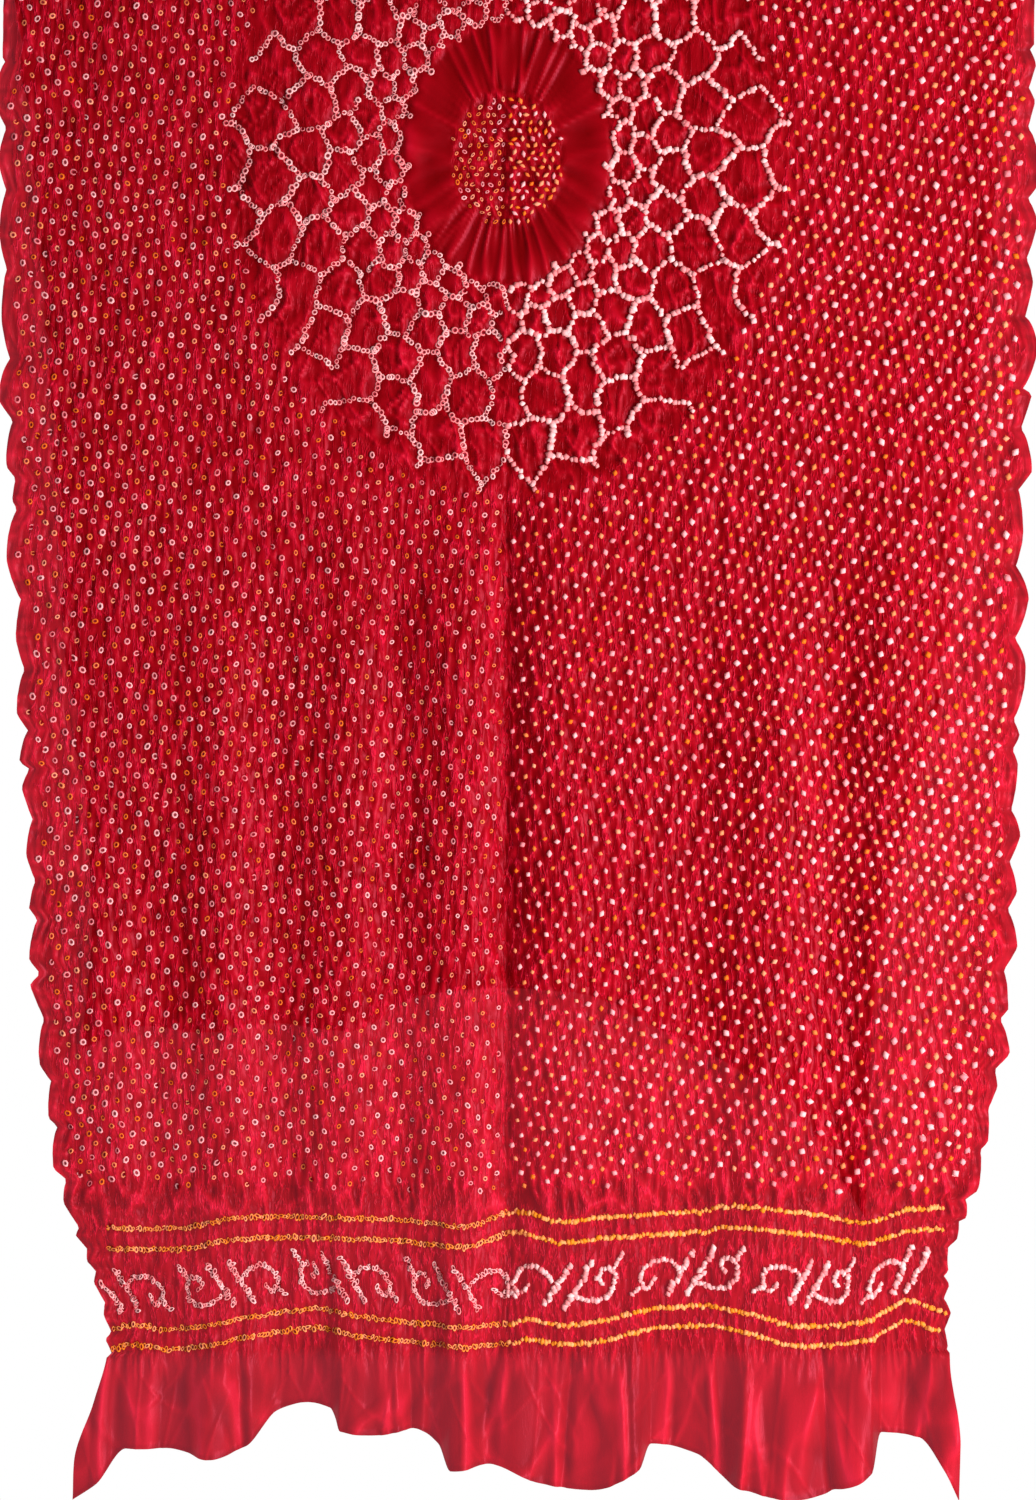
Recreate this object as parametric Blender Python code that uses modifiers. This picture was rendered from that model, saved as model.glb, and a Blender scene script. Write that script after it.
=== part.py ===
"""A bandhani dupatta of thin silk, hung doubled over a rail that isn't part of it.

The cloth is one sheet. It rises from the front hem, turns over at the top and falls to a shorter
back hem. X runs across the cloth, -Y is the front and Z = 0 is the top of the fold. A "drop" is a
distance below that top. Tables are in millimetres; everything that is built is in metres.
"""

from typing import NamedTuple

import bmesh
import bpy
import numpy as np

MM = 0.001

# The sheet and the turn at its top.
THICKNESS = 2.0 * MM
TURN_RADIUS = 12.0 * MM
TURN_CENTRE_DROP = TURN_RADIUS + THICKNESS / 2

# How far apart the two legs hang, at the turn and further down.
GAP_AT_TURN = 2 * TURN_RADIUS
GAP_BELOW = 14.0 * MM
GAP_CLOSES_BY = 250.0 * MM

# The dyer's centre crease, which the columns of the mesh follow.
CREASE_X = -6.5 * MM

# The gathered border ends here, and the plain flounce starts.
FRONT_FLOUNCE_DROP = 975.0 * MM
BACK_FLOUNCE_DROP = 665.0 * MM

# The selvedges ripple in this margin.
MARGIN = 46.0 * MM
NOTCH_DEPTH = 7.5 * MM
RIPPLE_DEPTH = 5.0 * MM

# The mesh: columns across, rows along each leg and over the turn.
COLUMNS = 32
FLOUNCE_ROWS = 4
FRONT_ROWS = 30
TURN_ROWS = 6
BACK_ROWS = 22
ROWS = FRONT_ROWS + TURN_ROWS + BACK_ROWS
SELVEDGE_CUTS = 2

RED_SILK = (0.52, 0.006, 0.022, 1.0)
SILK_ROUGHNESS = 0.42


class Edge(NamedTuple):
    """A selvedge passes x at this drop."""

    drop: float
    x: float


class Hem(NamedTuple):
    """The hem hangs at this drop and depth where it passes x. A positive depth is nearer the front."""

    x: float
    drop: float
    depth: float


class Fold(NamedTuple):
    """A long soft fold, from its top to its foot. A negative depth is a hollow."""

    top_x: float
    top: float
    foot_x: float
    foot: float
    half_width: float
    depth: float


FRONT_LEFT = (
    Edge(0, -369),
    Edge(185, -371),
    Edge(430, -362),
    Edge(610, -353),
    Edge(754, -345),
    Edge(855, -333),
    Edge(912, -320),
    Edge(963, -302),
    Edge(1002, -295),
    Edge(1042, -305),
    Edge(1085, -319),
    Edge(1112, -320),
)
FRONT_RIGHT = (
    Edge(0, 374),
    Edge(250, 371),
    Edge(437, 364),
    Edge(639, 360),
    Edge(783, 351),
    Edge(862, 338),
    Edge(912, 323),
    Edge(945, 312),
    Edge(1013, 313),
    Edge(1071, 320),
    Edge(1112, 319),
)
BACK_LEFT = (
    Edge(0, -369),
    Edge(110, -352),
    Edge(300, -338),
    Edge(480, -326),
    Edge(610, -312),
    Edge(700, -308),
    Edge(790, -316),
)
BACK_RIGHT = (
    Edge(0, 374),
    Edge(110, 352),
    Edge(250, 341),
    Edge(394, 322),
    Edge(574, 298),
    Edge(682, 270),
    Edge(780, 258),
    Edge(912, 254),
)

# Drops at which the selvedge is drawn in between two ripples.
FRONT_LEFT_NOTCHES = (78, 127, 172, 228, 293, 337, 379, 401, 466, 516, 560, 588, 624, 668, 696, 735, 768, 812, 883)
FRONT_RIGHT_NOTCHES = (70, 99, 127, 178, 221, 262, 314, 343, 387, 442, 494, 552, 574, 617, 655, 689, 732, 768, 804, 862)
BACK_LEFT_NOTCHES = (60, 118, 170, 236, 281, 342, 390, 447, 489, 548, 596)
BACK_RIGHT_NOTCHES = (74, 121, 188, 240, 287, 349, 401, 452, 511, 557, 610)

FRONT_HEM = (
    Hem(-320, 1112, 5),
    Hem(-302, 1100, 4),
    Hem(-280, 1075, 0),
    Hem(-252, 1075, 2),
    Hem(-220, 1081, 14),
    Hem(-194, 1073, 8),
    Hem(-173, 1050, -4),
    Hem(-150, 1044, -8),
    Hem(-134, 1047, -6),
    Hem(-126, 1062, 10),
    Hem(-100, 1065, 7),
    Hem(-72, 1061, 2),
    Hem(-56, 1072, 2),
    Hem(-47, 1089, 17),
    Hem(-18, 1086, 6),
    Hem(20, 1100, 12),
    Hem(52, 1104, 10),
    Hem(88, 1088, 17),
    Hem(97, 1073, -5),
    Hem(130, 1080, -6),
    Hem(158, 1102, 8),
    Hem(200, 1110, 15),
    Hem(236, 1101, 13),
    Hem(254, 1091, 18),
    Hem(263, 1065, -5),
    Hem(290, 1068, -2),
    Hem(308, 1090, 5),
    Hem(319, 1112, 9),
)
BACK_HEM = (
    Hem(-316, 790, -4),
    Hem(-270, 774, -13),
    Hem(-225, 778, -4),
    Hem(-175, 772, -15),
    Hem(-120, 777, -3),
    Hem(-70, 752, -14),
    Hem(-15, 746, -4),
    Hem(45, 750, -16),
    Hem(100, 774, -5),
    Hem(150, 799, -15),
    Hem(205, 838, -4),
    Hem(240, 890, -10),
    Hem(254, 912, -6),
)

FOLDS = (
    Fold(-6, 330, -7, 1010, 13, -7),
    Fold(-42, 330, -40, 1060, 24, 6),
    Fold(30, 330, 32, 1060, 28, 6),
    Fold(-84, 340, -88, 960, 19, -5),
    Fold(-112, 380, -132, 970, 24, 5),
    Fold(-184, 420, -170, 960, 22, -5),
    Fold(-216, 420, -200, 960, 26, 6),
    Fold(-262, 600, -258, 960, 22, -5),
    Fold(-300, 640, -276, 960, 22, 5),
    Fold(132, 420, 128, 1000, 26, -5),
    Fold(190, 400, 176, 1000, 28, 6),
    Fold(232, 380, 236, 990, 20, -5),
    Fold(272, 300, 264, 960, 30, 6),
    Fold(-150, 20, -184, 420, 40, 4),
    Fold(150, 20, 190, 420, 44, 4),
)
BACK_FOLLOWS = 0.6


def through(rows, at):
    """A smooth line through the (place, value) rows of a table."""
    places = np.array([row[0] for row in rows], float)
    values = np.array([row[1] for row in rows], float)
    slopes = np.gradient(values, places)
    at = float(np.clip(at, places[0], places[-1]))
    i = int(np.clip(np.searchsorted(places, at) - 1, 0, len(places) - 2))
    span = places[i + 1] - places[i]
    t = (at - places[i]) / span
    start = (2 * t - 3) * t * t + 1
    leave = ((t - 2) * t + 1) * t * span
    arrive = (t - 1) * t * t * span
    return start * values[i] + (1 - start) * values[i + 1] + leave * slopes[i] + arrive * slopes[i + 1]


def ease(low, high, at):
    """0 below low, 1 above high and a smooth rise between."""
    t = min(max((at - low) / (high - low), 0.0), 1.0)
    return t * t * (3 - 2 * t)


def ripple(notches, drop):
    """Where a drop lies in its ripple: 0 at each notch and 1 in the middle of the lobe."""
    places = np.array(notches, float) * MM
    i = int(np.searchsorted(places, drop))
    if i == 0 or i == len(places):
        return 0.5
    t = (drop - places[i - 1]) / (places[i] - places[i - 1])
    return abs(np.sin(np.pi * t)) ** 0.6


def folds_at(x, drop):
    """How far the long folds bring the cloth forward."""
    forward = 0.0
    for fold in FOLDS:
        t = (drop / MM - fold.top) / (fold.foot - fold.top)
        if not 0 < t < 1:
            continue
        centre = fold.top_x + (fold.foot_x - fold.top_x) * t
        across = np.exp(-(((x / MM - centre) / fold.half_width) ** 2))
        forward += fold.depth * MM * across * ease(0, 0.25, t) * ease(0, 0.15, 1 - t)
    return forward


def gap_at(drop):
    """The distance between the middles of the two legs."""
    return GAP_BELOW + (GAP_AT_TURN - GAP_BELOW) * (1 - ease(0, GAP_CLOSES_BY, drop))


def across(u, drop, left, right, left_notches, right_notches):
    """X at u, which runs from 0 at the left selvedge to 1 at the right, and the ripple there."""
    left_x = through(left, drop / MM) * MM
    right_x = through(right, drop / MM) * MM
    if u < 0.5:
        x = left_x + (CREASE_X - left_x) * u / 0.5
        outward, inset, lobe = -1, x - left_x, ripple(left_notches, drop)
    else:
        x = CREASE_X + (right_x - CREASE_X) * (u - 0.5) / 0.5
        outward, inset, lobe = 1, right_x - x, ripple(right_notches, drop)
    near_edge = 1 - ease(0, MARGIN, inset)
    x += outward * NOTCH_DEPTH * (lobe - 0.8) * near_edge
    return x, RIPPLE_DEPTH * (lobe - 0.4) * near_edge


def hem_at(hem, x):
    """The drop and the depth of a hem at x."""
    drop = through([(row.x, row.drop) for row in hem], x / MM) * MM
    depth = through([(row.x, row.depth) for row in hem], x / MM) * MM
    return drop, depth


def leg_point(u, share, rows, flounce_drop, leg, hem):
    """A point of a leg, and how far forward its folds bring it. Share is 0 at the hem, 1 at the turn."""
    flounce_share = FLOUNCE_ROWS / rows
    if share >= flounce_share:
        t = (share - flounce_share) / (1 - flounce_share)
        drop = flounce_drop + (TURN_CENTRE_DROP - flounce_drop) * t
        x, rippled = across(u, drop, *leg)
        flare = 1 - ease(0, 0.12, t)
        forward = hem_at(hem, x)[1] * 0.35 * flare
    else:
        t = 1 - share / flounce_share
        x, _ = across(u, flounce_drop + (leg[0][-1].drop * MM - flounce_drop) * t, *leg)
        hem_drop, depth = hem_at(hem, x)
        drop = flounce_drop + (hem_drop - flounce_drop) * t
        x, rippled = across(u, drop, *leg)
        forward = depth * (0.35 + 0.65 * ease(0, 1, t))
    return x, drop, forward, rippled


def front_point(u, share):
    leg = (FRONT_LEFT, FRONT_RIGHT, FRONT_LEFT_NOTCHES, FRONT_RIGHT_NOTCHES)
    x, drop, forward, rippled = leg_point(u, share, FRONT_ROWS, FRONT_FLOUNCE_DROP, leg, FRONT_HEM)
    return x, -gap_at(drop) / 2 - forward - rippled - folds_at(x, drop), -drop


def back_point(u, share):
    leg = (BACK_LEFT, BACK_RIGHT, BACK_LEFT_NOTCHES, BACK_RIGHT_NOTCHES)
    x, drop, forward, rippled = leg_point(u, share, BACK_ROWS, BACK_FLOUNCE_DROP, leg, BACK_HEM)
    return x, gap_at(drop) / 2 - forward + rippled - BACK_FOLLOWS * folds_at(x, drop), -drop


def turn_point(u, share):
    """A point of the turn over the rail, from the front leg at 0 to the back leg at 1."""
    leg = (FRONT_LEFT, FRONT_RIGHT, FRONT_LEFT_NOTCHES, FRONT_RIGHT_NOTCHES)
    angle = np.pi * share
    x, _ = across(u, TURN_CENTRE_DROP, *leg)
    return x, -TURN_RADIUS * np.cos(angle), TURN_RADIUS * np.sin(angle) - TURN_CENTRE_DROP


def cloth_point(u, v):
    """The place of the sheet at u across and v along it, from the front hem to the back hem."""
    row = v * ROWS
    if row <= FRONT_ROWS:
        return front_point(u, row / FRONT_ROWS)
    if row <= FRONT_ROWS + TURN_ROWS:
        return turn_point(u, (row - FRONT_ROWS) / TURN_ROWS)
    return back_point(u, (ROWS - row) / BACK_ROWS)


def silk_material():
    material = bpy.data.materials.new("red_silk")
    material.use_nodes = True
    shader = material.node_tree.nodes["Principled BSDF"]
    shader.inputs["Base Color"].default_value = RED_SILK
    shader.inputs["Roughness"].default_value = SILK_ROUGHNESS
    shader.inputs["Metallic"].default_value = 0.0
    return material


def bandhani_cloth(collection):
    """The sheet: a grid with finer rows along its selvedges, hung in place and given its thickness."""
    shape = bmesh.new()
    bmesh.ops.create_grid(shape, x_segments=COLUMNS, y_segments=ROWS, size=0.5)
    inner_column = 0.5 - 1 / COLUMNS
    along_selvedges = [
        edge
        for edge in shape.edges
        if all(abs(corner.co.x) > inner_column - 0.001 for corner in edge.verts)
        and abs(edge.verts[0].co.x - edge.verts[1].co.x) < 0.001
    ]
    bmesh.ops.subdivide_edges(shape, edges=along_selvedges, cuts=SELVEDGE_CUTS, use_grid_fill=True)
    bmesh.ops.triangulate(shape, faces=[face for face in shape.faces if len(face.verts) > 4])
    for corner in shape.verts:
        corner.co = cloth_point(corner.co.x + 0.5, corner.co.y + 0.5)
    bmesh.ops.recalc_face_normals(shape, faces=shape.faces)
    mesh = bpy.data.meshes.new("bandhani_cloth")
    shape.to_mesh(mesh)
    shape.free()
    mesh.materials.append(silk_material())
    cloth = bpy.data.objects.new("bandhani_cloth", mesh)
    collection.objects.link(cloth)
    solid = cloth.modifiers.new("thickness", "SOLIDIFY")
    solid.thickness = THICKNESS
    solid.offset = 0.0
    solid.use_even_offset = True
    mesh.shade_smooth()
    return cloth


def main():
    for old in list(bpy.data.objects):
        bpy.data.objects.remove(old, do_unlink=True)
    collection = bpy.data.collections.new("bandhani dupatta")
    bpy.context.scene.collection.children.link(collection)
    bandhani_cloth(collection)


main()
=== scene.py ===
# %% [markdown]
# # A bandhani dupatta, hung doubled over a rail
#
# The real thing is one length of thin red silk. A dyer folded it in half along its length, pinched up
# thousands of tiny points through both layers, bound each with thread, and dyed it. Each bound point kept
# its undyed or yellow ring, and the cloth kept its puckers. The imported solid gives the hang. This script
# makes the silk, the puckers and the knots on it.

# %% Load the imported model
from typing import NamedTuple

import bpy
import numpy as np
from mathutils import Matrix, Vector
from mathutils.bvhtree import BVHTree


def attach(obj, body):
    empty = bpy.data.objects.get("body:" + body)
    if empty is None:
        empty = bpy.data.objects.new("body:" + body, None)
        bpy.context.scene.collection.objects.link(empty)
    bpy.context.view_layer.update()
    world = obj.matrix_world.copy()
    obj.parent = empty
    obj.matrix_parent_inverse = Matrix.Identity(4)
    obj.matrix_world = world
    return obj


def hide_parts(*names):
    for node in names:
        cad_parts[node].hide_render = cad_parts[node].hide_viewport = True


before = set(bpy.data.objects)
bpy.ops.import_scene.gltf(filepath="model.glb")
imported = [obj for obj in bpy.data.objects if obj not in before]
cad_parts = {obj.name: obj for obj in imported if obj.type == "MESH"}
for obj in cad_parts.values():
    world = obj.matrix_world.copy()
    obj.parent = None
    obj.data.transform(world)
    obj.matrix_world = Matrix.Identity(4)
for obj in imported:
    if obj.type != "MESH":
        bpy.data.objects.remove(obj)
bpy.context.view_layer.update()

# %% [markdown]
# ## Measures of the hung cloth
#
# The tables below are the measured hang, in millimetres. X runs across, -Y is the front, and a drop is a
# distance down from the top of the fold. They are the same as the solid's, so that the silk lies on it.
# Tables of named rows keep each number next to what it means.

# %% The turn, the gap between the legs and the crease
MM = 0.001
TURN_RADIUS = 12.0
TURN_DROP = 13.0
GAP_AT_TURN = 24.0
GAP_BELOW = 14.0
GAP_CLOSES_BY = 250.0
CREASE_X = -6.5
MARGIN = 46.0
NOTCH_DEPTH = 8.0
RIPPLE_DEPTH = 6.0
BACK_FOLLOWS = 0.6


class Edge(NamedTuple):
    """A selvedge passes x at this drop."""

    drop: float
    x: float


class Hem(NamedTuple):
    """The hem hangs at this drop and depth where it passes x. A positive depth is nearer the front."""

    x: float
    drop: float
    depth: float


class Fold(NamedTuple):
    """A long soft fold, from its top to its foot. A negative depth is a hollow."""

    top_x: float
    top: float
    foot_x: float
    foot: float
    half_width: float
    depth: float


class Leg(NamedTuple):
    """One hanging leg of the cloth."""

    left: tuple
    right: tuple
    left_notches: tuple
    right_notches: tuple
    hem: tuple
    flounce_drop: float


# %% The two legs
FRONT = Leg(
    left=(
        Edge(0, -369),
        Edge(185, -371),
        Edge(430, -362),
        Edge(610, -353),
        Edge(754, -345),
        Edge(855, -333),
        Edge(912, -320),
        Edge(963, -302),
        Edge(1002, -295),
        Edge(1042, -305),
        Edge(1085, -319),
        Edge(1112, -320),
    ),
    right=(
        Edge(0, 374),
        Edge(250, 371),
        Edge(437, 364),
        Edge(639, 360),
        Edge(783, 351),
        Edge(862, 338),
        Edge(912, 323),
        Edge(945, 312),
        Edge(1013, 313),
        Edge(1071, 320),
        Edge(1112, 319),
    ),
    left_notches=(
        78, 127, 172, 228, 293, 337, 379, 401, 466, 516, 560, 588, 624, 668, 696, 735, 768, 812, 845, 883,
        917, 933, 949, 971, 993, 1008,
    ),
    right_notches=(
        70, 99, 127, 178, 221, 262, 314, 343, 387, 442, 494, 552, 574, 617, 655, 689, 732, 768, 804, 832, 862,
        897, 913, 931, 952, 968, 990, 1006,
    ),
    hem=(
        Hem(-320, 1112, 5),
        Hem(-302, 1100, 4),
        Hem(-280, 1075, 0),
        Hem(-252, 1075, 2),
        Hem(-220, 1081, 14),
        Hem(-194, 1073, 8),
        Hem(-173, 1050, -4),
        Hem(-150, 1044, -8),
        Hem(-134, 1047, -6),
        Hem(-126, 1062, 10),
        Hem(-100, 1065, 7),
        Hem(-72, 1061, 2),
        Hem(-56, 1072, 2),
        Hem(-47, 1089, 17),
        Hem(-18, 1086, 6),
        Hem(20, 1100, 12),
        Hem(52, 1104, 10),
        Hem(88, 1088, 17),
        Hem(97, 1073, -5),
        Hem(130, 1080, -6),
        Hem(158, 1102, 8),
        Hem(200, 1110, 15),
        Hem(236, 1101, 13),
        Hem(254, 1091, 18),
        Hem(263, 1065, -5),
        Hem(290, 1068, -2),
        Hem(308, 1090, 5),
        Hem(319, 1112, 9),
    ),
    flounce_drop=975.0,
)
BACK = Leg(
    left=(
        Edge(0, -369),
        Edge(110, -352),
        Edge(300, -338),
        Edge(480, -326),
        Edge(610, -312),
        Edge(700, -308),
        Edge(790, -316),
    ),
    right=(
        Edge(0, 374),
        Edge(110, 352),
        Edge(250, 341),
        Edge(394, 322),
        Edge(574, 298),
        Edge(682, 270),
        Edge(780, 258),
        Edge(912, 254),
    ),
    left_notches=(60, 118, 170, 236, 281, 342, 390, 447, 489, 548, 596),
    right_notches=(74, 121, 188, 240, 287, 349, 401, 452, 511, 557, 610),
    hem=(
        Hem(-316, 790, -4),
        Hem(-270, 774, -13),
        Hem(-225, 778, -4),
        Hem(-175, 772, -15),
        Hem(-120, 777, -3),
        Hem(-70, 752, -14),
        Hem(-15, 746, -4),
        Hem(45, 750, -16),
        Hem(100, 774, -5),
        Hem(150, 799, -15),
        Hem(205, 838, -4),
        Hem(240, 890, -10),
        Hem(254, 912, -6),
    ),
    flounce_drop=665.0,
)

# %% The long folds
FOLDS = (
    Fold(-6, 330, -7, 1010, 13, -7),
    Fold(-42, 330, -40, 1060, 24, 6),
    Fold(30, 330, 32, 1060, 28, 6),
    Fold(-84, 340, -88, 960, 19, -5),
    Fold(-112, 380, -132, 970, 24, 5),
    Fold(-184, 420, -170, 960, 22, -5),
    Fold(-216, 420, -200, 960, 26, 6),
    Fold(-262, 600, -258, 960, 22, -5),
    Fold(-300, 640, -276, 960, 22, 5),
    Fold(132, 420, 128, 1000, 26, -5),
    Fold(190, 400, 176, 1000, 28, 6),
    Fold(232, 380, 236, 990, 20, -5),
    Fold(272, 300, 264, 960, 30, 6),
    Fold(-150, 20, -184, 420, 40, 4),
    Fold(150, 20, 190, 420, 44, 4),
)

# %% The folds of the flounce
FLOUNCE_FOLDS = (
    Fold(-268, 985, -272, 1085, 16, 4),
    Fold(-236, 985, -235, 1085, 9, -6),
    Fold(-210, 985, -219, 1085, 13, 6),
    Fold(-200, 985, -199, 1085, 5, -6),
    Fold(-191, 985, -189, 1085, 6, 5),
    Fold(-174, 985, -168, 1085, 9, -5),
    Fold(-152, 985, -150, 1085, 13, -5),
    Fold(-109, 985, -107, 1085, 18, 4),
    Fold(-88, 980, -84, 1080, 3.5, 4),
    Fold(-77, 980, -75, 1060, 3, -4),
    Fold(-64, 980, -68, 1080, 3.5, 4),
    Fold(-38, 980, -40, 1100, 9, 7),
    Fold(-18, 980, -20, 1100, 7, -5),
    Fold(2, 980, 0, 1100, 10, 5),
    Fold(24, 980, 21, 1100, 8, -4),
    Fold(43, 985, 33, 1100, 4, -6),
    Fold(64, 985, 67, 1100, 13, 6),
    Fold(82, 985, 85, 1100, 4, 4),
    Fold(107, 985, 110, 1090, 10, -5),
    Fold(132, 985, 137, 1090, 8, 4),
    Fold(151, 985, 148, 1090, 5, -5),
    Fold(166, 985, 159, 1100, 5, 7),
    Fold(196, 985, 197, 1110, 20, 4),
    Fold(217, 985, 228, 1110, 4, -7),
    Fold(240, 985, 244, 1110, 12, 6),
    Fold(280, 985, 282, 1090, 16, -5),
    Fold(300, 985, 306, 1090, 10, 5),
)
print(len(FOLDS), "long folds and", len(FLOUNCE_FOLDS), "folds in the flounce")


# %% Smooth lines through the tables
def through(rows, at):
    """A smooth line, without overshoot, through the (place, value) rows of a table, read at places."""
    places = np.array([row[0] for row in rows], float)
    values = np.array([row[1] for row in rows], float)
    secants = np.diff(values) / np.diff(places)
    agree = secants[:-1] * secants[1:]
    total = np.where(agree > 0, secants[:-1] + secants[1:], 1.0)
    slopes = np.concatenate([secants[:1], np.where(agree > 0, 2 * agree / total, 0.0), secants[-1:]])
    at = np.clip(at, places[0], places[-1])
    i = np.clip(np.searchsorted(places, at) - 1, 0, len(places) - 2)
    span = places[i + 1] - places[i]
    t = (at - places[i]) / span
    start = (2 * t - 3) * t * t + 1
    leave = ((t - 2) * t + 1) * t * span
    arrive = (t - 1) * t * t * span
    return start * values[i] + (1 - start) * values[i + 1] + leave * slopes[i] + arrive * slopes[i + 1]


def ease(low, high, at):
    """0 below low, 1 above high and a smooth rise between."""
    t = np.clip((at - low) / (high - low), 0.0, 1.0)
    return t * t * (3 - 2 * t)


# %% [markdown]
# ## Hanging a point of the cloth
#
# The dyer's pattern is laid out on the cloth, not on the room. So a point has two cloth measures: x across,
# and q along the length from the middle of the medallion, positive towards the front hem. The function
# `hang` takes such a point over the rail and down its leg. Everything on the cloth goes through it, which
# keeps pattern, puckers and knots together.

# %% From cloth measures to places
MEDALLION_DROP = 145.4
FRONT_TURN_Q = TURN_DROP - MEDALLION_DROP
BACK_TURN_Q = FRONT_TURN_Q - np.pi * TURN_RADIUS
END_Q = 925.0
TOOTH_TIPS = (0.15, 0.85)
TOOTH_SIZES = (0.55, 1.2)
FLUTES_AT_FLOUNCE = 0.35


def ripple(notches, drop):
    """Where a drop lies in its ripple: 0 at each notch and 1 at the tip of the tooth between two of them."""
    places = np.array(notches, float)
    shapes = np.random.default_rng(int(places.sum()))
    tips = shapes.uniform(*TOOTH_TIPS, len(places))
    sizes = shapes.uniform(*TOOTH_SIZES, len(places))
    i = np.clip(np.searchsorted(places, drop), 1, len(places) - 1)
    span = places[i] - places[i - 1]
    t = np.clip((drop - places[i - 1]) / span, 0, 1)
    pointed = np.where(t < tips[i], (t / tips[i]) ** 0.7, ((1 - t) / (1 - tips[i])) ** 1.1)
    rounded = np.sin(np.pi * t) ** 0.7
    long_lobe = ease(30, 60, span)
    size = sizes[i] * (0.45 + 0.55 * ease(10, 40, span))
    tooth = size * (pointed + (rounded - pointed) * (0.1 + 0.6 * long_lobe))
    return np.where((drop < places[0]) | (drop > places[-1]), 0.4, tooth)


def edges_of(leg, drop):
    """X of both selvedges of a leg at a drop."""
    return through(leg.left, drop), through(leg.right, drop)


def rippled(leg, x, drop):
    """How far the ripple pushes a point near the selvedge outward, and how far forward."""
    left, right = edges_of(leg, drop)
    on_left = x < CREASE_X
    inset = np.where(on_left, x - left, right - x)
    lobe = np.where(on_left, ripple(leg.left_notches, drop), ripple(leg.right_notches, drop))
    near_edge = 1 - ease(0, MARGIN, inset)
    outward = np.where(on_left, -1, 1) * NOTCH_DEPTH * (lobe - 0.6) * near_edge
    return outward, RIPPLE_DEPTH * (lobe - 0.4) * near_edge


def hem_drop(leg, x):
    return through([(row.x, row.drop) for row in leg.hem], x)


def flutes_at(leg, x, drop):
    """How far the flutes of the flounce bring the cloth forward."""
    depth = through([(row.x, row.depth) for row in leg.hem], x)
    below = (drop - leg.flounce_drop) / (hem_drop(leg, x) - leg.flounce_drop)
    above = (leg.flounce_drop - drop) / (leg.flounce_drop - TURN_DROP)
    in_flounce = FLUTES_AT_FLOUNCE + (1 - FLUTES_AT_FLOUNCE) * ease(0, 1, below)
    over_it = FLUTES_AT_FLOUNCE * (1 - ease(0, 0.12, above))
    return depth * np.where(drop > leg.flounce_drop, in_flounce, over_it)


def bulge(folds, x, drop, strength):
    """How far folds bring the cloth forward. Their strength hangs on t: 0 at the top and 1 at the foot."""
    forward = np.zeros(np.broadcast(x, drop).shape)
    for fold in folds:
        t = (drop - fold.top) / (fold.foot - fold.top)
        centre = fold.top_x + (fold.foot_x - fold.top_x) * t
        forward += fold.depth * np.exp(-(((x - centre) / fold.half_width) ** 2)) * strength(t)
    return forward


def fading(t):
    """The strength of a long fold, which fades out at both ends."""
    return ease(0, 0.25, t) * ease(0, 0.15, 1 - t) * ((t > 0) & (t < 1))


def growing(t):
    """The strength of a fold of the flounce, which is deepest at the hem."""
    return ease(-0.25, 0.6, t)


def gap_at(drop):
    """The distance between the two legs."""
    return GAP_BELOW + (GAP_AT_TURN - GAP_BELOW) * (1 - ease(0, GAP_CLOSES_BY, drop))


def back_stretch(x):
    """How much the back leg's pattern is shortened, so that its band follows its slanting hem."""
    return (END_Q + BACK_TURN_Q) / (hem_drop(BACK, x) - TURN_DROP)


def drop_of(x, q):
    """The drop of a cloth point on whichever leg it hangs."""
    front = q + MEDALLION_DROP
    back = TURN_DROP + (BACK_TURN_Q - q) / back_stretch(x)
    return np.where(q > FRONT_TURN_Q, front, np.where(q < BACK_TURN_Q, back, TURN_DROP))


def selvedges_at(x, q):
    """X of both selvedges beside a cloth point, on whichever leg it hangs."""
    drop = drop_of(x, q)
    front, back = edges_of(FRONT, drop), edges_of(BACK, drop)
    return [np.where(q > FRONT_TURN_Q, ahead, behind) for ahead, behind in zip(front, back)]


def hang(x, q, lift=0.0):
    """The place of a cloth point in the room, standing off the cloth's outer face by lift."""
    drop = drop_of(x, q)
    angle = np.clip((FRONT_TURN_Q - q) / TURN_RADIUS, 0, np.pi)
    swell = bulge(FOLDS, x, drop, fading)
    front_out, front_ruffle = rippled(FRONT, x, drop)
    back_out, back_ruffle = rippled(BACK, x, drop)
    flounce = flutes_at(FRONT, x, drop) + bulge(FLOUNCE_FOLDS, x, drop, growing)
    front_y = -gap_at(drop) / 2 - flounce - front_ruffle - swell - lift
    back_y = gap_at(drop) / 2 - flutes_at(BACK, x, drop) + back_ruffle - BACK_FOLLOWS * swell + lift
    turn_y = -(TURN_RADIUS + lift) * np.cos(angle)
    turn_z = (TURN_RADIUS + lift) * np.sin(angle) - TURN_DROP
    on_front, on_back = q > FRONT_TURN_Q, q < BACK_TURN_Q
    y = np.where(on_front, front_y, np.where(on_back, back_y, turn_y))
    z = np.where(on_front | on_back, -drop, turn_z)
    moved = x + np.where(on_back, back_out, front_out)
    return np.stack([moved, y, z], axis=-1)


print("the turn takes up", round(FRONT_TURN_Q - BACK_TURN_Q, 1), "mm of cloth")

# %% [markdown]
# ## Laying out the knots
#
# Bandhani is set out with chalk lines before it is tied. The field is rows of points that slant down to the
# centre crease, one row left white and the next dipped yellow. Both halves were tied as one, so the layout
# is made for one half, as a distance from the crease, and mirrored. Slow warps and a small jitter stand for
# the hand of the tier. A knot here is x, q, a radius and whether it is yellow.

# %% A list of knots, and the random draws
draws = np.random.default_rng(2024)


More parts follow.
